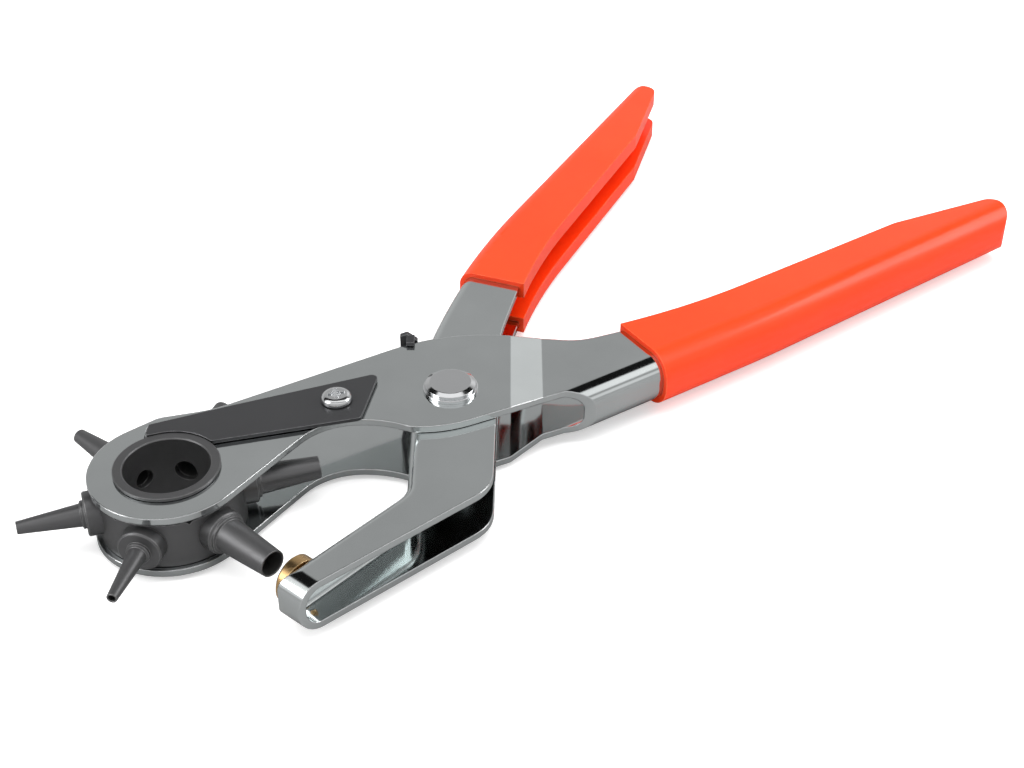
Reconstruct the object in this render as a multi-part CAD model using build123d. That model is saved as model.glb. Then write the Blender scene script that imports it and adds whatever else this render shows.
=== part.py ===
from build123d import *
import os
from math import atan2, cos, degrees, hypot, radians, sin, sqrt, tan

# Rotary hole punch: revolving leather punch pliers, lying on their side.
# Millimetres. +Z is up and parallel to the pivot and to the turret axis.
# The origin is on the pivot axis, on the surface that the tool lies on.

# ---------------------------------------------------------------- driving dimensions
# Pressed steel frames
SHEET = 1.5                 # sheet thickness of both frames
OUTER_HEIGHT = 14.5         # outer frame, over both cheeks
CHEEK_GAP = 0.15            # running gap between a cheek and what turns beside it
COAT = 1.2                  # thickness of the dipped plastic grips
STAND_OFF = 1.2             # the lower rivet and hub heads hold the frame off the surface
OUTER_BEND = 4.5            # outside bend radius of the outer frame's channel
INNER_BEND = 2.4            # outside bend radius of the inner frame's channel
JAW_ROLL = 5.0              # outside radius of the rolled end of the anvil jaw

# Handles, both of one pressing shape
OUTER_HANDLE_ANGLE = 32.5   # direction of the outer frame's handle, degrees from +X
OUTER_HANDLE_SHIFT = (0.2, 2.35)    # its line passes beside the pivot by this much
INNER_HANDLE_ANGLE = 68.6   # direction of the inner frame's handle
HANDLE_REACH = 155.6        # pivot to the steel tip of a handle
HANDLE_BREAK = 126.5        # pivot to where the flanges start to taper
FLARE_START = 12.6          # X where the outer frame's wide part ends
FLARE_END = 19.4            # X where its cheeks reach the height of the handle
GRIP_START = 45.0           # pivot to the lip of a grip
WINDOW_FRONT = 1.3          # Y of the cut end of the outer frame's web

# Turret
TURRET_X = -55.0            # turret axis from the pivot axis
TURRET_Y = -27.0
DISC_R = 15.65              # round end of the cheeks
DRUM_R = 14.6
HUB_R = 9.8                 # hub sleeve where it turns in the cheeks
HUB_WALL = 1.2
HUB_LIP = 0.8               # its flange and ring stand out this far
HUB_BORE_R = HUB_R - HUB_WALL
HUB_FLANGE_R = HUB_R + HUB_LIP
HUB_FLANGE_RISE = 0.8       # upper flange above the cheek
RUNNING = 0.05              # radial running clearance
FIRST_PUNCH_ANGLE = -41.5   # direction of the punch that faces the anvil
PUNCH_REACH = 30.1          # turret axis to every cutting edge
COLLAR_R = 4.5
COLLAR_REACH = 17.0         # turret axis to the collar's outer face
STEM_R = 3.2
EDGE_WALL = 0.3             # wall of a tube at its cutting edge
SLUG_ROOM = 0.8             # a slug hole is this much wider than its tube's bore, in radius
CUTTING_LAND = 3.0          # straight length of a bore behind the cutting edge
# bore diameter and root diameter of each tube, smallest first
PUNCHES = [(1.5, 3.8), (2.0, 4.7), (2.5, 5.2), (3.2, 5.8), (4.0, 6.3), (5.0, 7.0)]
PUNCH_PLACES = [5, 4, 3, 2, 1, 0]   # sixths of a turn from the anvil, same order

# Index spring and its ratchet
LEAF = 0.8                  # thickness of both leaf springs
LEAF_GAP = 0.25             # air under the index spring
RATCHET_INNER_R = 11.0      # rim step that the index tab runs in
RATCHET_DEPTH = 0.9
NOTCH_DEPTH = 0.7           # detent notches below the rim step
TAB_REACH = 0.7             # how far the tab dips below the top of the drum
SCREW_X = -23.4
SCREW_Y = -5.7
SCREW_R = 1.5
SCREW_HEAD_R = 3.25
SCREW_HEAD = 1.45

# Pivot
RIVET_R = 3.5
RIVET_HEAD_R = 5.35
WASHER_R = 5.8
WASHER_TOP = 0.7
SPACER_R = 5.0

# Anvil
ANVIL_R = 4.9
ANVIL_THICK = 2.8           # at the middle of the pad
ANVIL_STEM_R = 2.0
CLOSING_ANGLE = 5.1         # how far the jaws turn to close

# ---------------------------------------------------------------- levels and places
BASE = STAND_OFF                                # underside of the outer frame
TOP = BASE + OUTER_HEIGHT
MIDDLE = (BASE + TOP) / 2
INSIDE_LOW = BASE + SHEET + CHEEK_GAP           # what lies between the cheeks
INSIDE_HIGH = TOP - SHEET - CHEEK_GAP
TURRET = Vector(TURRET_X, TURRET_Y, 0)
REACH_ALL = 400.0                               # larger than the tool
CUT = 1.0                                       # how far a cutter passes a face


def on_circle(radius, angle, centre=(0, 0)):
    """A point at an angle in degrees on a circle."""
    a = radians(angle)
    return (centre[0] + radius * cos(a), centre[1] + radius * sin(a))


def turned(points, angle, flip=1):
    """Corner points (x, y, radius) turned about the origin, or mirrored and turned."""
    a = radians(angle)
    return [(x * cos(a) - flip * y * sin(a), x * sin(a) + flip * y * cos(a), r)
            for x, y, r in points]


def shifted(corners, distance, closed=False):
    """Corner points moved sideways by a distance, to the left of their direction."""
    count = len(corners)
    lines = []
    for i in range(count if closed else count - 1):
        x0, y0, _ = corners[i]
        x1, y1, _ = corners[(i + 1) % count]
        length = hypot(x1 - x0, y1 - y0)
        ux, uy = (x1 - x0) / length, (y1 - y0) / length
        lines.append((x0 - uy * distance, y0 + ux * distance, ux, uy, length))
    moved = []
    for i, (_, _, r) in enumerate(corners):
        if not closed and i in (0, count - 1):
            x, y, ux, uy, length = lines[0] if i == 0 else lines[-1]
            along = 0 if i == 0 else length
            moved.append((x + ux * along, y + uy * along, 0))
            continue
        ax, ay, aux, auy, _ = lines[i - 1]
        bx, by, bux, buy, _ = lines[i]
        turn = aux * buy - auy * bux
        step = ((bx - ax) * buy - (by - ay) * bux) / turn
        radius = r - distance if turn > 0 else r + distance
        moved.append((ax + aux * step, ay + auy * step, max(radius, 0) if r else 0))
    return moved


def rounded(corners, closed=True):
    """Lines and arcs through corner points, each corner rounded by its own radius."""
    count = len(corners)
    stops = []
    for i, (x, y, r) in enumerate(corners):
        here = Vector(x, y)
        if r == 0 or (not closed and i in (0, count - 1)):
            stops.append((here, None, here))
            continue
        before = (Vector(*corners[i - 1][:2]) - here).normalized()
        after = (Vector(*corners[(i + 1) % count][:2]) - here).normalized()
        half = radians(before.get_angle(after)) / 2
        back = r / tan(half)
        crown = here + (before + after).normalized() * (r / sin(half) - r)
        stops.append((here + before * back, crown, here + after * back))
    pieces = []
    for i, (start, crown, end) in enumerate(stops):
        if crown is not None:
            pieces.append(ThreePointArc(start, crown, end))
        following = stops[(i + 1) % count][0]
        if (closed or i < count - 1) and (following - end).length > 1e-6:
            pieces.append(Line(end, following))
    return Wire(pieces)


def flat(corners):
    """A face inside corner points that carry their own radii."""
    return Face(rounded(corners))


def slab(corners, low, high):
    """The outline as a solid between two levels."""
    return Pos(0, 0, low) * extrude(flat(corners), high - low)


def post(radius, low, high, centre=(0, 0)):
    """An upright round post between two levels."""
    return Pos(centre[0], centre[1], low) * Cylinder(
        radius, high - low, align=(Align.CENTER, Align.CENTER, Align.MIN))


def edges_along(solid, corners, levels):
    """The solid's edges that follow a line of corner points at the given levels."""
    found = []
    for level in levels:
        line = Pos(0, 0, level) * rounded(corners, closed=False)
        for edge in solid.edges():
            near = [line.distance_to(Vertex(*(edge @ t))) for t in (0.1, 0.5, 0.9)]
            if max(near) < 0.01:
                found.append(edge)
    return found


# ---------------------------------------------------------------- handle shape
# Corner points beside the line from the pivot through the handle: X away from the
# pivot, Y to the outside of the tool, where the channel's web is.
HANDLE_WEB = [(25.0, 17.4, 0), (73.4, 15.8, 254), (HANDLE_REACH, 9.5, 2.4)]
HANDLE_OPEN_SIDE = [(HANDLE_REACH, 4.6, 2.4), (HANDLE_BREAK, 1.05, 4), (57.8, 4.2, 170)]


def moved(points, shift):
    """Corner points moved by a shift in X and Y."""
    return [(x + shift[0], y + shift[1], r) for x, y, r in points]


OUTER_HANDLE = moved(turned(HANDLE_WEB[1:] + HANDLE_OPEN_SIDE, OUTER_HANDLE_ANGLE, -1),
                     OUTER_HANDLE_SHIFT)
# The inner frame's web bends a little nearer to the pivot than the outer frame's.
INNER_HANDLE = turned([(47.6, 17.8, 254)] + HANDLE_WEB[2:] + HANDLE_OPEN_SIDE,
                      INNER_HANDLE_ANGLE)

# ---------------------------------------------------------------- frame outlines
THROAT_ANGLE = -33.4        # where the throat edge leaves the round end
THROAT_TOP = -10.95         # Y of the top of the throat
throat_x, throat_y = on_circle(DISC_R, THROAT_ANGLE, (TURRET_X, TURRET_Y))
throat_slope = tan(radians(THROAT_ANGLE + 90))
back_x, back_y = on_circle(DISC_R, 128, (TURRET_X, TURRET_Y))
(web_x, web_y, _), = moved(turned(HANDLE_WEB[:1], OUTER_HANDLE_ANGLE, -1), OUTER_HANDLE_SHIFT)
next_x, next_y, _ = OUTER_HANDLE[0]
window_x = web_x + (WINDOW_FRONT - web_y) * (next_x - web_x) / (next_y - web_y)

OUTER_OUTLINE = [
    (throat_x, throat_y, 0),
    (throat_x + (THROAT_TOP - throat_y) / throat_slope, THROAT_TOP, 13.9),
    (-13.0, THROAT_TOP, 22),
    (-7.9, -13.3, 0),
    (-1.4, -13.75, 23),
    (FLARE_START, -6.75, 4),
    (FLARE_END, -1.0, 4),
    (24.2, WINDOW_FRONT, 2),
    (window_x, WINDOW_FRONT, 0),
] + OUTER_HANDLE + [
    (27.6, 20.3, 14),
    (FLARE_END, 21.3, 8),
    (FLARE_START, 19.9, 0),
    (-1.4, 21.85, 38),
    (TURRET_X + 6.0, TURRET_Y + 19.5, 20),
    (TURRET_X - 4.6, TURRET_Y + 16.6, 4),
    (back_x, back_y, 0),
]
OUTER_WEB = (8, 11)         # the corners of the outline that the web follows
OUTER_WEB_LINE = OUTER_OUTLINE[OUTER_WEB[0]:OUTER_WEB[1]]

ARM_INSIDE = [(-7.95, 9.4, 95), (-7.7, -31.5, 7)]
ARM_END = [(-30.5, -57.2, 0.8), (-25.8, -61.2, 0.5)]
HEEL = [(9.2, -30.6, 10), (10.1, 22.4, 60)]
INNER_OUTLINE = HEEL + INNER_HANDLE[::-1] + ARM_INSIDE + ARM_END
INNER_WEB = (5, 10)


def channel(outline, web, low, high, bend):
    """The outside of a bent channel: the outline with its web edges rounded."""
    first, last = web
    square = list(outline)
    for i in (first, last - 1):
        square[i] = (outline[i][0], outline[i][1], 0)
    body = slab(square, low, high)
    body = fillet(edges_along(body, square[first:last], (low, high)), bend)
    return body & slab(outline, low, high)


def hollow(inner_line, far_side, low, high, bend):
    """The space inside a channel, open at the far side."""
    room = slab(inner_line + far_side, low, high)
    if bend > 0:
        room = fillet(edges_along(room, inner_line, (low, high)), bend)
    return room


def outer_room(wall, low, high, bend):
    """The space between the outer frame's cheeks, a wall's thickness off its web."""
    inside = shifted(OUTER_WEB_LINE, wall)
    (x0, y0, _), (x1, y1, _) = inside[0], inside[1]
    start = x0 + (WINDOW_FRONT - y0) * (x1 - x0) / (y1 - y0)
    x2, y2, _ = inside[2]
    run = hypot(x2 - inside[1][0], y2 - inside[1][1])
    past = (x2 + (x2 - inside[1][0]) * 30 / run, y2 + (y2 - inside[1][1]) * 30 / run, 0)
    line = [(start, WINDOW_FRONT, 0), inside[1], past]
    around = [(REACH_ALL, REACH_ALL, 0), (-REACH_ALL, REACH_ALL, 0),
              (-REACH_ALL, -REACH_ALL, 0), (window_x + 30, -REACH_ALL, 0),
              (window_x + 30, WINDOW_FRONT, 0)]
    return hollow(line, around, low, high, bend)


# The rolled end of the anvil jaw: what is cut away above and below a half-round end.
end_a, end_b = ARM_END
END_LENGTH = hypot(end_b[0] - end_a[0], end_b[1] - end_a[1])
END_ANGLE = degrees(atan2(end_b[1] - end_a[1], end_b[0] - end_a[0]))
END_MIDDLE = ((end_a[0] + end_b[0]) / 2, (end_a[1] + end_b[1]) / 2)


def rolled_end(solid, low, high, radius, back):
    """The solid with its jaw end, set back by a distance, rounded above and below."""
    for level, side in ((high, 1), (low, -1)):
        corner = Box(60, radius * 2, radius * 2)
        corner -= Rot(0, 90, 0) * Cylinder(radius, 80)
        keep = Pos(0, radius, 0) * Box(60, radius * 2, radius * 4)
        keep += Pos(0, 0, -side * radius) * Box(60, radius * 4, radius * 2)
        corner -= keep
        place = Pos(END_MIDDLE[0], END_MIDDLE[1], level - side * radius)
        solid -= place * Rot(0, 0, END_ANGLE) * Pos(0, back + radius, 0) * corner
    return solid


def inner_room(wall, low, high, bend, roll):
    """The space inside the inner frame, a wall's thickness off its web and jaw end."""
    chain = [INNER_HANDLE[1], INNER_HANDLE[0]] + ARM_INSIDE + ARM_END
    inside = shifted(chain, wall)
    (x0, y0, _), (x1, y1, _) = inside[0], inside[1]
    run = hypot(x0 - x1, y0 - y1)
    past = (x0 + (x0 - x1) * 30 / run, y0 + (y0 - y1) * 30 / run, 0)
    (xe, ye, _), (xd, yd, _) = inside[-1], inside[-2]
    run = hypot(xe - xd, ye - yd)
    out = (xe + (xe - xd) * 40 / run, ye + (ye - yd) * 40 / run, 0)
    corner = (inside[-2][0], inside[-2][1], 0)
    line = [past, inside[1], inside[2], inside[3], corner, out]
    around = [(REACH_ALL, -REACH_ALL, 0), (REACH_ALL, REACH_ALL, 0)]
    room = slab(line + around, low, high)
    room = fillet(edges_along(room, line[:5], (low, high)), bend)
    return rolled_end(room, low, high, roll, wall)


# ---------------------------------------------------------------- frames
HUB_HOLE_R = HUB_R + RUNNING
TAB_X = TURRET_X - 5.4      # middle of the index tab
TAB_Y = TURRET_Y + 11.4
TAB_WIDTH = 2.6
SLOT_ROOM = 0.5             # free space at each face of the tab in its slot
SLOT_END_ROOM = 0.8         # free space at each edge of the tab


def cheek_profile(side):
    """One cheek's sheet, seen from the front: wide, then flaring in to the handle."""
    wide = TOP - MIDDLE
    narrow = INSIDE_HIGH - MIDDLE
    outside = [(-REACH_ALL, wide), (FLARE_START, wide), (FLARE_END, narrow), (JOIN_X, narrow)]
    inside = [(x, z - SHEET) for x, z in reversed(outside)]
    points = [(x, MIDDLE + side * z) for x, z in outside + inside]
    sheet = make_face(Plane.XZ * Polyline(*points, close=True))
    return extrude(sheet, REACH_ALL, both=True)


JOIN_X = 22.0               # where the cheeks and the handle's channel are one sheet


def outer_frame():
    """Two cheeks that hold the turret, flaring in to the channel of the handle."""
    cheeks = slab(OUTER_OUTLINE, BASE, TOP) + post(DISC_R, BASE, TOP, (TURRET_X, TURRET_Y))
    cheeks = cheeks & (cheek_profile(1) + cheek_profile(-1))
    body = channel(OUTER_OUTLINE, OUTER_WEB, INSIDE_LOW, INSIDE_HIGH, OUTER_BEND)
    body -= outer_room(SHEET, INSIDE_LOW + SHEET, INSIDE_HIGH - SHEET, OUTER_BEND - SHEET)
    body = body & Pos(JOIN_X + REACH_ALL / 2, 0, 0) * Box(REACH_ALL, 2 * REACH_ALL, 60)
    body += cheeks
    body -= post(HUB_HOLE_R, BASE - CUT, TOP + CUT, (TURRET_X, TURRET_Y))
    body -= post(RIVET_R, BASE - CUT, TOP + CUT)
    body -= post(SCREW_R, TOP - SHEET - CUT, TOP + CUT, (SCREW_X, SCREW_Y))
    slot = Box(LEAF + 2 * SLOT_ROOM, TAB_WIDTH + 2 * SLOT_END_ROOM, SHEET + 2 * CUT)
    body -= Pos(TAB_X, TAB_Y, TOP - SHEET / 2) * slot
    return body


def inner_frame():
    """The channel that holds the anvil: jaw arm, pivot part and upper handle."""
    body = channel(INNER_OUTLINE, INNER_WEB, INSIDE_LOW, INSIDE_HIGH, INNER_BEND)
    body = rolled_end(body, INSIDE_LOW, INSIDE_HIGH, JAW_ROLL, 0)
    body -= inner_room(SHEET, INSIDE_LOW + SHEET, INSIDE_HIGH - SHEET,
                       INNER_BEND - SHEET, JAW_ROLL - SHEET)
    body -= post(RIVET_R + RUNNING, INSIDE_LOW - CUT, INSIDE_HIGH + CUT)
    body -= anvil_place() * Rot(0, 90, 0) * Cylinder(ANVIL_STEM_R, 6 * SHEET)
    return body


# ---------------------------------------------------------------- anvil
PUNCH_LINE = Vector(*on_circle(1, FIRST_PUNCH_ANGLE), 0)
arm_a, arm_b = ARM_INSIDE[1], ARM_END[0]
ARM_LENGTH = hypot(arm_b[0] - arm_a[0], arm_b[1] - arm_a[1])
ARM_DIRECTION = Vector((arm_b[0] - arm_a[0]) / ARM_LENGTH, (arm_b[1] - arm_a[1]) / ARM_LENGTH, 0)
ARM_NORMAL = Vector(ARM_DIRECTION.Y, -ARM_DIRECTION.X, 0)    # towards the turret
arm_start = Vector(arm_a[0], arm_a[1], 0)
TO_ARM = (arm_start - TURRET).dot(ARM_NORMAL) / PUNCH_LINE.dot(ARM_NORMAL)
ANVIL_SEAT = TURRET + PUNCH_LINE * TO_ARM                    # on the web's outer face
SEAT_ANGLE = degrees(atan2(ARM_NORMAL.Y, ARM_NORMAL.X))


def anvil_place():
    """Local frame on the jaw's web: X towards the turret, at mid height."""
    return Pos(ANVIL_SEAT.X, ANVIL_SEAT.Y, MIDDLE) * Rot(0, 0, SEAT_ANGLE)


def anvil_pad():
    """A wedge-shaped brass pad, flat to the tube when the jaws close, on a stem."""
    tilt = (FIRST_PUNCH_ANGLE + 180) - (SEAT_ANGLE - CLOSING_ANGLE)
    pad = Pos(ANVIL_THICK, 0, 0) * Rot(0, 90, 0) * Cylinder(ANVIL_R, 2 * ANVIL_THICK)
    face = Pos(ANVIL_THICK, 0, 0) * Rot(0, 0, tilt)
    pad -= face * Pos(10, 0, 0) * Box(20, 40, 40)
    pad -= Pos(-10, 0, 0) * Box(20, 40, 40)
    rim = pad.faces().sort_by(Axis.X)[-1].edges()
    pad = chamfer(rim, 0.5)
    pad += Pos(-SHEET / 2, 0, 0) * Rot(0, 90, 0) * Cylinder(ANVIL_STEM_R, SHEET)
    return anvil_place() * pad


# ---------------------------------------------------------------- grips
def grip_side(outline, web, angle, low, high, bend):
    """The outside of a grip: the handle grown by the coat, from the lip to the tip."""
    grown = shifted(outline, -COAT, closed=True)
    body = channel(grown, web, low - COAT, high + COAT, bend + COAT)
    keep = Rot(0, 0, angle) * Pos(GRIP_START + 100, 0, 0) * Box(200, 200, 60)
    return body & keep


def outer_grip(frame):
    """Dipped grip on the outer frame's handle, inside and outside the channel."""
    body = grip_side(OUTER_OUTLINE, OUTER_WEB, OUTER_HANDLE_ANGLE, INSIDE_LOW, INSIDE_HIGH,
                     OUTER_BEND)
    wall = SHEET + COAT
    body -= outer_room(wall, INSIDE_LOW + wall, INSIDE_HIGH - wall, OUTER_BEND - wall)
    return body - frame


def inner_grip(frame):
    """Dipped grip on the inner frame's handle."""
    body = grip_side(INNER_OUTLINE, INNER_WEB, INNER_HANDLE_ANGLE, INSIDE_LOW, INSIDE_HIGH,
                     INNER_BEND)
    wall = SHEET + COAT
    body -= inner_room(wall, INSIDE_LOW + wall, INSIDE_HIGH - wall, 0.3, 0.3)
    return body - frame


# ---------------------------------------------------------------- turret
def punch_angle(place):
    """Direction of a tube, in sixths of a turn from the one at the anvil."""
    return FIRST_PUNCH_ANGLE + 60 * place


def relief_r(bore):
    """A bore widens towards the hub, so that slugs fall out; the stem limits it."""
    return min(bore / 2 + SLUG_ROOM, STEM_R - 0.5)


COLLAR_SEAT = sqrt(DRUM_R ** 2 - COLLAR_R ** 2) - 0.1


def radial(place, length, radius, start):
    """A round bar that points out from the turret axis, from a start distance."""
    bar = Rot(0, 90, 0) * Cylinder(radius, length, align=(Align.CENTER, Align.CENTER, Align.MIN))
    turn = Rot(0, 0, punch_angle(place))
    return Pos(TURRET_X, TURRET_Y, MIDDLE) * turn * Pos(start, 0, 0) * bar


def turret_drum():
    """The drum: bored for the hub, drilled for the tubes, notched round its top rim."""
    centre = (TURRET_X, TURRET_Y)
    drum = post(DRUM_R, INSIDE_LOW, INSIDE_HIGH, centre)
    step = post(DRUM_R + CUT, INSIDE_HIGH - RATCHET_DEPTH, INSIDE_HIGH + CUT, centre)
    step -= post(RATCHET_INNER_R, INSIDE_LOW, INSIDE_HIGH + 2 * CUT, centre)
    drum -= step
    drum -= post(HUB_R, INSIDE_LOW - CUT, INSIDE_HIGH + CUT, centre)
    tab_angle = degrees(atan2(TAB_Y - TURRET_Y, TAB_X - TURRET_X))
    floor = INSIDE_HIGH - RATCHET_DEPTH
    for k in range(6):
        notch = Rot(0, 0, tab_angle + 60 * k) * Pos(DRUM_R - 1, 0, 0)
        notch = notch * Rot(45, 0, 0) * Box(4, NOTCH_DEPTH * sqrt(2), NOTCH_DEPTH * sqrt(2))
        drum -= Pos(TURRET_X, TURRET_Y, floor) * notch
    for place in PUNCH_PLACES:
        drum -= radial(place, DRUM_R, STEM_R, HUB_R - CUT)
        drum -= radial(place, DRUM_R, COLLAR_R, COLLAR_SEAT)
    return drum


def hub_sleeve():
    """The hollow hub that the turret turns on, with its upper flange."""
    centre = (TURRET_X, TURRET_Y)
    flange_low = TOP + CHEEK_GAP
    sleeve = post(HUB_R, 0, flange_low, centre)
    flange = post(HUB_FLANGE_R, flange_low, TOP + HUB_FLANGE_RISE, centre)
    flange = chamfer(flange.edges().group_by(Axis.Z)[-1], 0.12)
    sleeve += flange
    sleeve -= post(HUB_BORE_R, -CUT, TOP + HUB_FLANGE_RISE + CUT, centre)
    rim = [e for e in sleeve.edges().group_by(Axis.Z)[-1] if e.radius < HUB_R]
    sleeve = chamfer(rim, 0.2)
    for (bore, _), place in zip(PUNCHES, PUNCH_PLACES):
        sleeve -= radial(place, 4, relief_r(bore), HUB_BORE_R - 2)
    return sleeve


def hub_ring():
    """The ring pressed on the lower end of the hub sleeve."""
    centre = (TURRET_X, TURRET_Y)
    ring = post(HUB_FLANGE_R, 0, BASE - CHEEK_GAP, centre)
    ring = chamfer(ring.edges().group_by(Axis.Z)[0], 0.3)
    return ring - post(HUB_R, -CUT, BASE + CUT, centre)


def punch_tube(bore, root, place):
    """A hollow punch: stem, collar, small shoulder and tapered tube."""
    tip_r = bore / 2 + EDGE_WALL
    shoulder_r = root / 2 + 0.5
    profile = Polyline(
        (HUB_R, 0), (HUB_R, STEM_R), (COLLAR_SEAT, STEM_R), (COLLAR_SEAT, COLLAR_R),
        (COLLAR_REACH - 0.3, COLLAR_R), (COLLAR_REACH, COLLAR_R - 0.3),
        (COLLAR_REACH, shoulder_r), (COLLAR_REACH + 0.6, shoulder_r),
        (COLLAR_REACH + 0.8, root / 2), (PUNCH_REACH, tip_r), (PUNCH_REACH, 0), close=True)
    tube = revolve(make_face(profile), axis=Axis.X)
    inside = Polyline(
        (HUB_R - CUT, 0), (HUB_R - CUT, relief_r(bore)), (HUB_R, relief_r(bore)),
        (PUNCH_REACH - CUTTING_LAND, bore / 2), (PUNCH_REACH + CUT, bore / 2),
        (PUNCH_REACH + CUT, 0), close=True)
    tube -= revolve(make_face(inside), axis=Axis.X)
    return Pos(TURRET_X, TURRET_Y, MIDDLE) * Rot(0, 0, punch_angle(place)) * tube


# ---------------------------------------------------------------- pivot
RIVET_HEAD = 1.15
TAIL_HEAD = 0.7


def pivot_rivet():
    """The pivot: a chamfered head above and a peened tail below."""
    head_low = TOP + WASHER_TOP
    rivet = post(RIVET_R, 0, head_low)
    head = post(RIVET_HEAD_R, head_low, head_low + RIVET_HEAD)
    head = chamfer(head.edges().group_by(Axis.Z)[-1], 0.5, 0.95)
    tail = post(RIVET_HEAD_R - 0.6, 0, TAIL_HEAD)
    tail = chamfer(tail.edges().group_by(Axis.Z)[0], 0.3)
    return rivet + head + tail


def pivot_washer(low, high):
    """A washer under a head of the rivet."""
    ring = post(WASHER_R, low, high)
    ring = chamfer(ring.edges().group_by(Axis.Z)[-1], 0.15)
    return ring - post(RIVET_R, low - CUT, high + CUT)


def pivot_spacer():
    """The tube that keeps the inner frame's cheeks apart round the rivet."""
    low = INSIDE_LOW + SHEET
    high = INSIDE_HIGH - SHEET
    return post(SPACER_R, low, high) - post(RIVET_R + RUNNING, low - CUT, high + CUT)


# ---------------------------------------------------------------- springs
LEAF_LOW = TOP + LEAF_GAP
LEAF_HIGH = LEAF_LOW + LEAF


def index_spring():
    """A tapered leaf whose bent tab drops through the cheek into the ratchet."""
    leaf = slab([
        (TURRET_X - 5.8, TURRET_Y + 12.9, 0.3),
        (TURRET_X - 5.8, TURRET_Y + 9.4, 0.3),
        (TURRET_X - 0.1, TURRET_Y + 10.7, 0),
        (TURRET_X + 7.8, TURRET_Y + 7.6, 0.5),
        (SCREW_X + 5.4, SCREW_Y - 6.0, 1.0),
        (SCREW_X + 8.2, SCREW_Y + 9.9, 1.2),
        (TURRET_X + 10.0, TURRET_Y + 19.5, 40),
    ], LEAF_LOW, LEAF_HIGH)
    leaf -= post(HUB_FLANGE_R + 0.1, LEAF_LOW - CUT, LEAF_HIGH + CUT, (TURRET_X, TURRET_Y))
    tab_low = INSIDE_HIGH - TAB_REACH
    tab = Box(LEAF, TAB_WIDTH, LEAF_LOW - tab_low, align=(Align.CENTER, Align.CENTER, Align.MIN))
    leaf += Pos(TAB_X, TAB_Y, tab_low) * tab
    leaf -= post(SCREW_R + 0.1, LEAF_LOW - CUT, LEAF_HIGH + CUT, (SCREW_X, SCREW_Y))
    return leaf


def index_spring_screw():
    """Pan-head screw with a cross recess, threaded into the cheek."""
    head_low = LEAF_HIGH + LEAF_GAP
    shank = post(SCREW_R, TOP - SHEET - 1.0, head_low)
    head = post(SCREW_HEAD_R, head_low, head_low + SCREW_HEAD)
    head = fillet(head.edges().group_by(Axis.Z)[-1], 1.25)
    for turn in (15, 105):
        head -= Pos(0, 0, head_low + SCREW_HEAD) * Rot(0, 0, turn) * Box(3.6, 0.95, 2.0)
    head -= Pos(0, 0, head_low + SCREW_HEAD) * Rot(0, 0, 15) * Box(1.7, 1.7, 1.6)
    return Pos(SCREW_X, SCREW_Y, 0) * (head + shank)


SPRING_X = -9.6             # opening spring, beside the inner frame's web
SPRING_HOOK_Y = 16.7
SPRING_FOOT_Y = -5.6
SPRING_WIDTH = 4.4


def opening_spring():
    """A narrow leaf that pushes the inner frame open, hooked over the upper cheek."""
    high = INSIDE_HIGH
    leaf = Polyline(
        (SPRING_X - 1.4, SPRING_HOOK_Y + 1.0), (SPRING_X - 2.0, SPRING_HOOK_Y - 8),
        (SPRING_X, SPRING_FOOT_Y), (SPRING_X + LEAF, SPRING_FOOT_Y),
        (SPRING_X - 2.0 + LEAF, SPRING_HOOK_Y - 8), (SPRING_X - 1.4 + LEAF, SPRING_HOOK_Y + 1.0),
        close=True)
    body = Pos(0, 0, high - SPRING_WIDTH) * extrude(make_face(leaf), SPRING_WIDTH)
    back = 1.2
    low = high - SPRING_WIDTH
    top = TOP + 1.9
    y0 = SPRING_HOOK_Y + 0.9
    x0 = SPRING_X - 2.0
    front = Polyline(
        (x0, low), (x0, top - 0.6), (x0 + 1.6, top), (x0 + 3.8, top - 1.7),
        (x0 + 3.8, TOP - 1.0), (x0 + 1.4, TOP - 2.4), (x0 + 1.4, low), close=True)
    plate = Pos(0, y0 + back, 0) * extrude(Plane.XZ * make_face(front), back)
    side = Polyline(
        (y0, top - 1.5), (y0 + 0.5, top - 0.4), (y0, top - 0.3), (y0 - 1.9, top - 0.9),
        (y0 - 2.1, TOP + 0.25), (y0 - 1.3, TOP + 0.25), (y0 - 1.0, top - 1.3), close=True)
    lip = Pos(x0 + 1.5, 0, 0) * extrude(Plane.YZ * make_face(side), 1.7)
    return body + plate + lip


# ---------------------------------------------------------------- write the parts
os.makedirs("parts", exist_ok=True)


def save(name, shape):
    """Write one part as a STEP file named after its node."""
    export_step(shape, f"parts/{name}.step")


outer = outer_frame()
inner = inner_frame()
save("outer_frame", outer)
save("inner_frame", inner)
save("outer_grip", outer_grip(outer))
save("inner_grip", inner_grip(inner))
save("anvil_pad", anvil_pad())
save("turret_drum", turret_drum())
save("hub_sleeve", hub_sleeve())
save("hub_ring", hub_ring())
for number, ((bore, root), place) in enumerate(zip(PUNCHES, PUNCH_PLACES), start=1):
    save(f"punch_tube_{number}", punch_tube(bore, root, place))
save("pivot_rivet", pivot_rivet())
save("pivot_washer_top", pivot_washer(TOP, TOP + WASHER_TOP))
save("pivot_washer_bottom", pivot_washer(TAIL_HEAD, BASE))
save("pivot_spacer", pivot_spacer())
save("index_spring", index_spring())
save("index_spring_screw", index_spring_screw())
save("opening_spring", opening_spring())
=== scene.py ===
# %% [markdown]
# # A rotary hole punch
# The tool lies on its side on a white table. Its moving parts arrive already shaped and
# placed, because the same solids drive the physics. Here they get their finishes, their
# small surface details, the light and the camera. Everything is in metres, the pivot is
# at the origin, and +Z is up out of the table.

# %% Load the frame
import math

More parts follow.
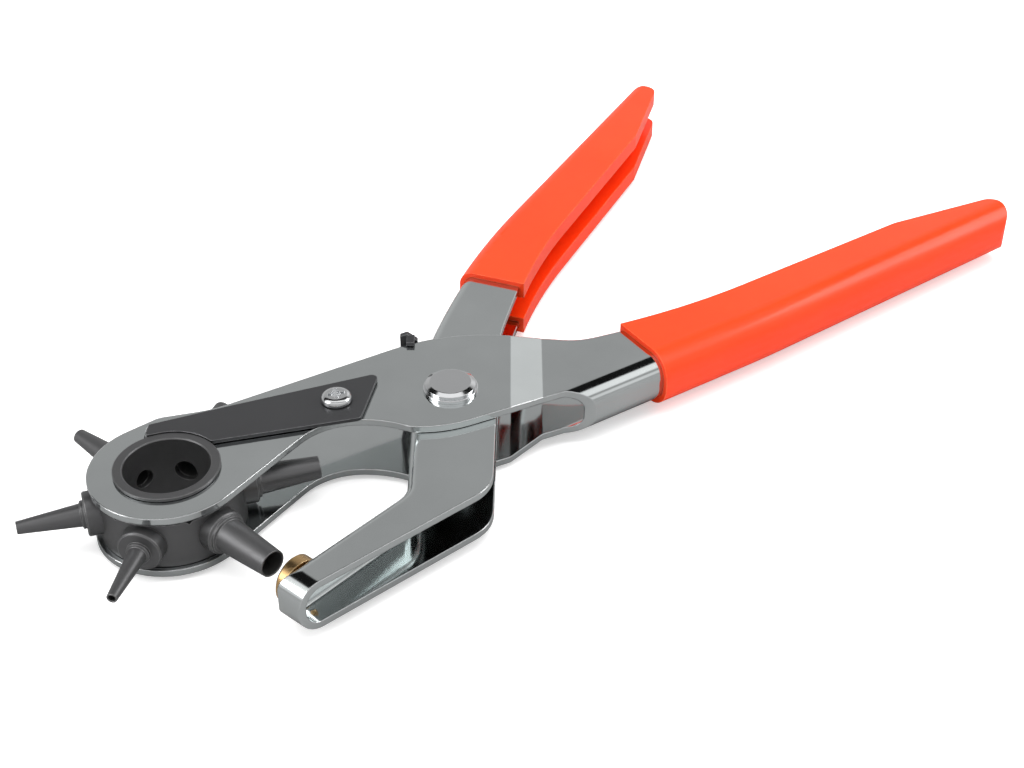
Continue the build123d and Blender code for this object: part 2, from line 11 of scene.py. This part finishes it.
import bpy
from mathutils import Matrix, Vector


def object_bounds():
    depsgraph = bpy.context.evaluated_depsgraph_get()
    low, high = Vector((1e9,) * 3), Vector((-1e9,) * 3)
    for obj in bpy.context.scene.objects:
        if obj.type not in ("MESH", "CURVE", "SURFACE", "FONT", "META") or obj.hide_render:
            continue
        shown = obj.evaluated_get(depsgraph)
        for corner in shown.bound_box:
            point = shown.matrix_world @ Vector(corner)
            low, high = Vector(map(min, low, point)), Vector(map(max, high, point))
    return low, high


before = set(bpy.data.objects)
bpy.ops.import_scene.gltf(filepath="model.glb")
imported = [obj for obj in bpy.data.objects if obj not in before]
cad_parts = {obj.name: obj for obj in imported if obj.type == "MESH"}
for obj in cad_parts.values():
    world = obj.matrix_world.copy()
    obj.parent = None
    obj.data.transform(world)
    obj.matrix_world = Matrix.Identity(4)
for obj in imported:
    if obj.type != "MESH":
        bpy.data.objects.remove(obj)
solid_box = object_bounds()
print("parts:", ", ".join(sorted(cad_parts)))
print("size in mm:", [round((b - a) * 1000, 1) for a, b in zip(*solid_box)])

# %% [markdown]
# ## The camera
# The tool is seen from the front, from above the jaws, with a normal lens. The camera
# stands on the tool's left half, and its tilt alone does the framing, so no lens shift
# is needed.

# %% Camera
CAMERA_PLACE = (0.0129, -0.2783, 0.2150)
CAMERA_TILT = math.radians(54.545)      # 90 degrees would look level
LENS = 57.23                            # on a sensor 36 mm wide

lens = bpy.data.cameras.new("camera")
lens.lens = LENS
camera = bpy.data.objects.new("camera", lens)
camera.location = CAMERA_PLACE
camera.rotation_euler = (CAMERA_TILT, 0, 0)
bpy.context.scene.collection.objects.link(camera)
bpy.context.scene.camera = camera
print("camera at", CAMERA_PLACE, "with a lens of", LENS, "mm")

# %% [markdown]
# ## The table and the studio
# Polished plate has hardly any colour of its own: it shows the room. So the room is
# made with care. The table is white to the eye, and grey in reflections, as if black
# cards stood just outside the picture. The sky is banded like a tunnel along X, from the
# far horizon over the zenith to the near horizon: grey for the flat cheeks, then a black
# card, then a bright strip. The bends of the handles turn those bands into the dark line
# and the long highlight of chrome. A soft window to the right lights the sloping step
# beside the pivot.

# %% Helpers for nodes
def new_material(name):
    """An empty material with its node tree, output and Principled shader."""
    made = bpy.data.materials.new(name)
    made.use_nodes = True
    tree = made.node_tree
    tree.nodes.clear()
    out = tree.nodes.new("ShaderNodeOutputMaterial")
    shader = tree.nodes.new("ShaderNodeBsdfPrincipled")
    tree.links.new(shader.outputs["BSDF"], out.inputs["Surface"])
    return made, tree, shader


def node(tree, kind, **settings):
    """A new node. Settings whose names are inputs fill those inputs."""
    made = tree.nodes.new("ShaderNode" + kind)
    for key, value in settings.items():
        if hasattr(made, key):
            setattr(made, key, value)
        else:
            made.inputs[key.replace("_", " ")].default_value = value
    return made


def ramp(tree, factor, stops):
    """A colour ramp with (position, colour) stops, fed by a factor."""
    made = tree.nodes.new("ShaderNodeValToRGB")
    band = made.color_ramp
    while len(band.elements) < len(stops):
        band.elements.new(0.5)
    for element, (place, colour) in zip(band.elements, stops):
        element.position = place
        element.color = colour if len(colour) == 4 else (*colour, 1)
    tree.links.new(factor, made.inputs["Fac"])
    return made.outputs["Color"]


def grey(value):
    """A neutral colour."""
    return (value, value, value, 1)


# %% Table
TABLE_HALF = 3.0
TABLE_CLEARANCE = 0.00005   # the table lies this far below the tool
TABLE_WHITE = grey(0.86)
TABLE_MIRRORED = grey(0.30)
TABLE_GLOW = 0.45           # lifts the shadows that the eye sees, and lights nothing

mesh = bpy.data.meshes.new("table")
corners = [(-TABLE_HALF, -TABLE_HALF), (TABLE_HALF, -TABLE_HALF),
           (TABLE_HALF, TABLE_HALF), (-TABLE_HALF, TABLE_HALF)]
mesh.from_pydata([(x, y, 0) for x, y in corners], [], [(0, 1, 2, 3)])
table = bpy.data.objects.new("table", mesh)
table.location.z = solid_box[0].z - TABLE_CLEARANCE
bpy.context.scene.collection.objects.link(table)

white, tree, shader = new_material("table white")
shader.inputs["Roughness"].default_value = 0.9
shader.inputs["Specular IOR Level"].default_value = 0.1
path = node(tree, "LightPath")
tint = node(tree, "Mix", data_type="RGBA")
tint.inputs[6].default_value = TABLE_WHITE
tint.inputs[7].default_value = TABLE_MIRRORED
tree.links.new(path.outputs["Is Glossy Ray"], tint.inputs[0])
tree.links.new(tint.outputs[2], shader.inputs["Base Color"])
glow = node(tree, "Math", operation="MULTIPLY")
glow.inputs[1].default_value = TABLE_GLOW
tree.links.new(path.outputs["Is Camera Ray"], glow.inputs[0])
shader.inputs["Emission Color"].default_value = grey(1.0)
tree.links.new(glow.outputs[0], shader.inputs["Emission Strength"])
mesh.materials.append(white)

# %% Sky
SKY_BANDS = [               # from the far horizon over the zenith to the near horizon
    (0.00, grey(0.62)),
    (0.125, grey(0.58)),
    (0.18, grey(0.49)),     # what the flat cheeks mirror
    (0.265, grey(0.47)),
    (0.275, grey(0.01)),    # a black card, the dark line at the top of each bend
    (0.43, grey(0.01)),
    (0.45, grey(1.20)),     # the long white highlight
    (0.58, grey(1.20)),
    (0.61, grey(0.45)),
    (0.68, grey(0.45)),
    (0.71, grey(0.95)),
    (0.80, grey(0.95)),
    (0.84, grey(0.50)),
    (1.00, grey(0.60)),
]
WINDOW_DIRECTION = (0.36, 0.79, 0.49)   # a soft bright patch behind the tool, to the right
WINDOW_LIGHT = 0.40
WINDOW_RIM = 0.955          # cosine of the angle where the patch begins
WINDOW_FULL = 0.985         # cosine of the angle where it is at its brightest
SKY_STRENGTH = 0.9

world = bpy.data.worlds.new("studio")
bpy.context.scene.world = world
world.use_nodes = True
tree = world.node_tree
tree.nodes.clear()
out = tree.nodes.new("ShaderNodeOutputWorld")
sky = tree.nodes.new("ShaderNodeBackground")
where = node(tree, "TexCoord")
apart = node(tree, "SeparateXYZ")
turn = node(tree, "Math", operation="ARCTAN2")
share = node(tree, "Math", operation="DIVIDE")
share.inputs[1].default_value = math.pi
tree.links.new(where.outputs["Generated"], apart.inputs["Vector"])
tree.links.new(apart.outputs["Z"], turn.inputs[0])
tree.links.new(apart.outputs["Y"], turn.inputs[1])
tree.links.new(turn.outputs[0], share.inputs[0])
facing = node(tree, "VectorMath", operation="DOT_PRODUCT")
facing.inputs[1].default_value = WINDOW_DIRECTION
patch = node(tree, "MapRange", From_Min=WINDOW_RIM, From_Max=WINDOW_FULL, To_Max=WINDOW_LIGHT)
lit = node(tree, "Mix", data_type="RGBA", blend_type="ADD")
lit.inputs[0].default_value = 1
tree.links.new(where.outputs["Generated"], facing.inputs[0])
tree.links.new(facing.outputs["Value"], patch.inputs["Value"])
tree.links.new(ramp(tree, share.outputs[0], SKY_BANDS), lit.inputs[6])
tree.links.new(patch.outputs["Result"], lit.inputs[7])
tree.links.new(lit.outputs[2], sky.inputs["Color"])
sky.inputs["Strength"].default_value = SKY_STRENGTH
tree.links.new(sky.outputs["Background"], out.inputs["Surface"])

# %% Lamps
def softbox(name, place, aim, size, watts):
    """A square soft light that looks at a point."""
    light = bpy.data.lights.new(name, "AREA")
    light.shape = "RECTANGLE"
    light.size, light.size_y = size
    light.energy = watts
    made = bpy.data.objects.new(name, light)
    made.location = place
    made.rotation_euler = (Vector(aim) - Vector(place)).to_track_quat("-Z", "Y").to_euler()
    bpy.context.scene.collection.objects.link(made)
    return made


ceiling = softbox("ceiling", (0.0, 0.1, 1.6), (0, 0, 0), (2.2, 1.6), 30)
ceiling.visible_glossy = False      # the sky's own bands are what the metal mirrors
softbox("left", (-1.3, -0.5, 0.9), (0, 0, 0), (0.7, 0.9), 8)
softbox("right", (1.4, 0.3, 0.8), (0, 0, 0), (0.6, 0.9), 7)
bpy.context.scene.view_settings.view_transform = "Standard"
print("sky bands:", len(SKY_BANDS))

# %% [markdown]
# ## Shared effects
# Three effects turn up on more than one finish, so each is a node group that is built
# once. The edge group finds sheared edges by comparing a slightly rounded normal with the
# true one; the finishes lighten those edges, partly as wear and partly as a painted
# highlight. "Fine scratches" stretches noise into hairlines. "Cloudy" is slow, soft
# variation that keeps a large plain face from looking painted.

# %% Node groups
def new_group(name, inputs, outputs):
    """A shader node group with float inputs and typed outputs."""
    group = bpy.data.node_groups.new(name, "ShaderNodeTree")
    for label, value in inputs:
        socket = group.interface.new_socket(label, in_out="INPUT", socket_type="NodeSocketFloat")
        socket.default_value = value
    for label, kind in outputs:
        group.interface.new_socket(label, in_out="OUTPUT", socket_type=kind)
    start = group.nodes.new("NodeGroupInput")
    end = group.nodes.new("NodeGroupOutput")
    return group, start, end


def place_group(tree, group, **values):
    """A node group in a material, with its own values."""
    made = tree.nodes.new("ShaderNodeGroup")
    made.node_tree = group
    for key, value in values.items():
        made.inputs[key.replace("_", " ")].default_value = value
    return made


# The finishes use this mask to lighten edges, partly as wear and partly as a painted highlight.
def edge_wear_and_highlight_group():
    """Mask that is 1 on a sharp edge and 0 on a face, broken up by noise."""
    group, start, end = new_group("edge wear and painted highlight", [("Radius", 0.0003), ("Amount", 1.0)],
                                  [("Mask", "NodeSocketFloat"), ("Normal", "NodeSocketVector")])
    rounded = node(group, "Bevel", samples=6)
    geometry = node(group, "NewGeometry")
    match = node(group, "VectorMath", operation="DOT_PRODUCT")
    edge = node(group, "MapRange", From_Min=0.995, From_Max=0.86)
    noise = node(group, "TexNoise", Scale=900.0, Detail=3.0)
    where = node(group, "TexCoord")
    broken = node(group, "MapRange", From_Min=0.35, From_Max=0.6, To_Min=0.45, To_Max=1.0)
    both = node(group, "Math", operation="MULTIPLY")
    final = node(group, "Math", operation="MULTIPLY")
    link = group.links.new
    link(start.outputs["Radius"], rounded.inputs["Radius"])
    link(rounded.outputs["Normal"], match.inputs[0])
    link(geometry.outputs["Normal"], match.inputs[1])
    link(match.outputs["Value"], edge.inputs["Value"])
    link(where.outputs["Object"], noise.inputs["Vector"])
    link(noise.outputs["Fac"], broken.inputs["Value"])
    link(edge.outputs["Result"], both.inputs[0])
    link(broken.outputs["Result"], both.inputs[1])
    link(both.outputs[0], final.inputs[0])
    link(start.outputs["Amount"], final.inputs[1])
    link(final.outputs[0], end.inputs["Mask"])
    link(rounded.outputs["Normal"], end.inputs["Normal"])
    return group


def scratches_group():
    """Hairlines in two crossing directions, as a mask."""
    group, start, end = new_group("fine scratches", [("Scale", 600.0), ("Amount", 1.0)],
                                  [("Mask", "NodeSocketFloat")])
    where = node(group, "TexCoord")
    link = group.links.new
    masks = []
    for turn, stretch in ((0.5, 0.03), (-1.0, 0.05)):
        spin = node(group, "Mapping")
        spin.inputs["Rotation"].default_value = (0.3, 0.2, turn)
        spin.inputs["Scale"].default_value = (stretch, 1, 1)
        noise = node(group, "TexNoise", Detail=2.0, Roughness=0.6)
        cut = node(group, "MapRange", From_Min=0.62, From_Max=0.72)
        link(where.outputs["Object"], spin.inputs["Vector"])
        link(spin.outputs["Vector"], noise.inputs["Vector"])
        link(start.outputs["Scale"], noise.inputs["Scale"])
        link(noise.outputs["Fac"], cut.inputs["Value"])
        masks.append(cut.outputs["Result"])
    most = node(group, "Math", operation="MAXIMUM")
    final = node(group, "Math", operation="MULTIPLY")
    link(masks[0], most.inputs[0])
    link(masks[1], most.inputs[1])
    link(most.outputs[0], final.inputs[0])
    link(start.outputs["Amount"], final.inputs[1])
    link(final.outputs[0], end.inputs["Mask"])
    return group


def cloudy_group():
    """Slow soft variation between two limits."""
    group, start, end = new_group("cloudy", [("Scale", 30.0), ("Low", 0.0), ("High", 1.0)],
                                  [("Value", "NodeSocketFloat")])
    where = node(group, "TexCoord")
    noise = node(group, "TexNoise", Detail=4.0, Roughness=0.55)
    spread = node(group, "MapRange", From_Min=0.3, From_Max=0.7)
    link = group.links.new
    link(where.outputs["Object"], noise.inputs["Vector"])
    link(start.outputs["Scale"], noise.inputs["Scale"])
    link(noise.outputs["Fac"], spread.inputs["Value"])
    link(start.outputs["Low"], spread.inputs["To Min"])
    link(start.outputs["High"], spread.inputs["To Max"])
    link(spread.outputs["Result"], end.inputs["Value"])
    return group


EDGE_WEAR_AND_HIGHLIGHT = edge_wear_and_highlight_group()
SCRATCHES = scratches_group()
CLOUDY = cloudy_group()
print("groups:", EDGE_WEAR_AND_HIGHLIGHT.name, "/", SCRATCHES.name, "/", CLOUDY.name)

# %% [markdown]
# ## Metal finishes
# All the metals share one recipe: a base colour that lightens on sharp edges, partly as
# wear and partly as a painted highlight, a roughness that drifts a little and rises in
# hairline scratches, and a fine bump on top of edges that are rounded by a fraction of a
# millimetre. Plate is bright and smooth, the turret is dark and satin, and the brass is
# soft and warm.

# %% Metal recipe
SCRATCH_ROUGHNESS = 0.10    # what a hairline adds to the roughness


def metal(name, colour, edge_colour, roughness, scratch, grain, edge_radius, metallic=1.0):
    """A metal with edges lightened by wear and a painted highlight, hairlines, slow colour drift
    and fine grain.
    """
    made, tree, shader = new_material(name)
    shader.inputs["Metallic"].default_value = metallic
    edge = place_group(tree, EDGE_WEAR_AND_HIGHLIGHT, Radius=edge_radius)
    lines = place_group(tree, SCRATCHES, Scale=700.0, Amount=scratch)
    drift = place_group(tree, CLOUDY, Scale=45.0, Low=0.94, High=1.04)
    smooth = place_group(tree, CLOUDY, Scale=80.0, Low=roughness[0], High=roughness[1])
    where = node(tree, "TexCoord")
    speck = node(tree, "TexNoise", Scale=2600.0, Detail=3.0)
    shade = node(tree, "Mix", data_type="RGBA", blend_type="MULTIPLY")
    shade.inputs[0].default_value = 1
    shade.inputs[6].default_value = (*colour, 1)
    # Lighter colour on sharp edges: partly wear, partly a painted highlight.
    edge_wear_and_highlight = node(tree, "Mix", data_type="RGBA")
    edge_wear_and_highlight.inputs[7].default_value = (*edge_colour, 1)
    rough = node(tree, "Math", operation="MULTIPLY_ADD")
    rough.inputs[1].default_value = SCRATCH_ROUGHNESS
    bump = node(tree, "Bump", Strength=grain, Distance=0.00004)
    link = tree.links.new
    link(drift.outputs["Value"], shade.inputs[7])
    link(shade.outputs[2], edge_wear_and_highlight.inputs[6])
    link(edge.outputs["Mask"], edge_wear_and_highlight.inputs[0])
    link(edge_wear_and_highlight.outputs[2], shader.inputs["Base Color"])
    link(lines.outputs["Mask"], rough.inputs[0])
    link(smooth.outputs["Value"], rough.inputs[2])
    link(rough.outputs[0], shader.inputs["Roughness"])
    link(where.outputs["Object"], speck.inputs["Vector"])
    link(speck.outputs["Fac"], bump.inputs["Height"])
    link(edge.outputs["Normal"], bump.inputs["Normal"])
    link(bump.outputs["Normal"], shader.inputs["Normal"])
    return made


PLATE = metal("nickel plate", (0.64, 0.67, 0.67), (0.86, 0.87, 0.88),
              (0.07, 0.11), 0.12, 0.02, 0.0004)
RIVET = metal("turned bright steel", (0.74, 0.75, 0.76), (0.90, 0.91, 0.92),
              (0.10, 0.16), 0.2, 0.03, 0.00025)
GUNMETAL = metal("dark oxide", (0.155, 0.155, 0.158), (0.32, 0.32, 0.32),
                 (0.38, 0.46), 0.4, 0.28, 0.0003, 0.85)
BLUED = metal("blued spring steel", (0.095, 0.096, 0.10), (0.34, 0.34, 0.35),
              (0.34, 0.42), 0.4, 0.12, 0.00025, 0.8)
BRASS = metal("brass", (0.66, 0.43, 0.20), (0.90, 0.66, 0.38),
              (0.20, 0.30), 0.6, 0.10, 0.0003)
print("metals:", PLATE.name, RIVET.name, GUNMETAL.name, BLUED.name, BRASS.name, sep=", ")

# %% [markdown]
# ## The dipped grips
# The grips are made by dipping the handles in hot plastic. The skin is soft, a little
# glossy, slightly see-through, and never quite even: it carries a faint orange peel from
# the dip. A Principled shader with a touch of subsurface light and a thin coat does it.

# %% Grip plastic
def grip_plastic():
    """Orange dipped vinyl with an uneven skin."""
    made, tree, shader = new_material("dipped orange vinyl")
    shader.inputs["Subsurface Weight"].default_value = 0.12
    shader.inputs["Subsurface Radius"].default_value = (0.0012, 0.0004, 0.0002)
    shader.inputs["Subsurface Scale"].default_value = 1.0
    shader.inputs["IOR"].default_value = 1.48
    shader.inputs["Specular IOR Level"].default_value = 0.32
    shader.inputs["Coat Roughness"].default_value = 0.07
    drift = place_group(tree, CLOUDY, Scale=28.0, Low=0.0, High=1.0)
    smooth = place_group(tree, CLOUDY, Scale=60.0, Low=0.30, High=0.40)
    edge = place_group(tree, EDGE_WEAR_AND_HIGHLIGHT, Radius=0.0004)
    where = node(tree, "TexCoord")
    peel = node(tree, "TexNoise", Scale=420.0, Detail=2.0)
    bump = node(tree, "Bump", Strength=0.10, Distance=0.00012)
    link = tree.links.new
    tone = ramp(tree, drift.outputs["Value"], [(0, (0.97, 0.048, 0.004)), (1, (1.0, 0.056, 0.006))])
    # Lighter orange on sharp edges: a painted edge highlight.
    painted_edge_highlight = node(tree, "Mix", data_type="RGBA")
    painted_edge_highlight.inputs[7].default_value = (1.0, 0.17, 0.06, 1)
    link(edge.outputs["Mask"], painted_edge_highlight.inputs[0])
    link(tone, painted_edge_highlight.inputs[6])
    link(painted_edge_highlight.outputs[2], shader.inputs["Base Color"])
    link(smooth.outputs["Value"], shader.inputs["Roughness"])
    link(where.outputs["Object"], peel.inputs["Vector"])
    link(peel.outputs["Fac"], bump.inputs["Height"])
    link(edge.outputs["Normal"], bump.inputs["Normal"])
    link(bump.outputs["Normal"], shader.inputs["Normal"])
    shader.inputs["Coat Weight"].default_value = 0.20
    return made


VINYL = grip_plastic()

# %% [markdown]
# ## Give every part its finish
# The solids are right as they stand, so each one keeps its mesh and only takes a finish.

# %% Finishes
FINISH = {
    "outer_frame": PLATE, "inner_frame": PLATE,
    "outer_grip": VINYL, "inner_grip": VINYL,
    "turret_drum": GUNMETAL, "hub_sleeve": GUNMETAL, "hub_ring": GUNMETAL,
    "anvil_pad": BRASS,
    "pivot_rivet": RIVET, "pivot_washer_top": RIVET, "pivot_washer_bottom": RIVET,
    "pivot_spacer": RIVET, "index_spring_screw": RIVET,
    "index_spring": BLUED, "opening_spring": BLUED,
}
for number in range(1, 7):
    FINISH[f"punch_tube_{number}"] = GUNMETAL
for name, finish in FINISH.items():
    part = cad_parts[name]
    part.data.materials.clear()
    part.data.materials.append(finish)
print("finished parts:", len(FINISH), "of", len(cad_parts))
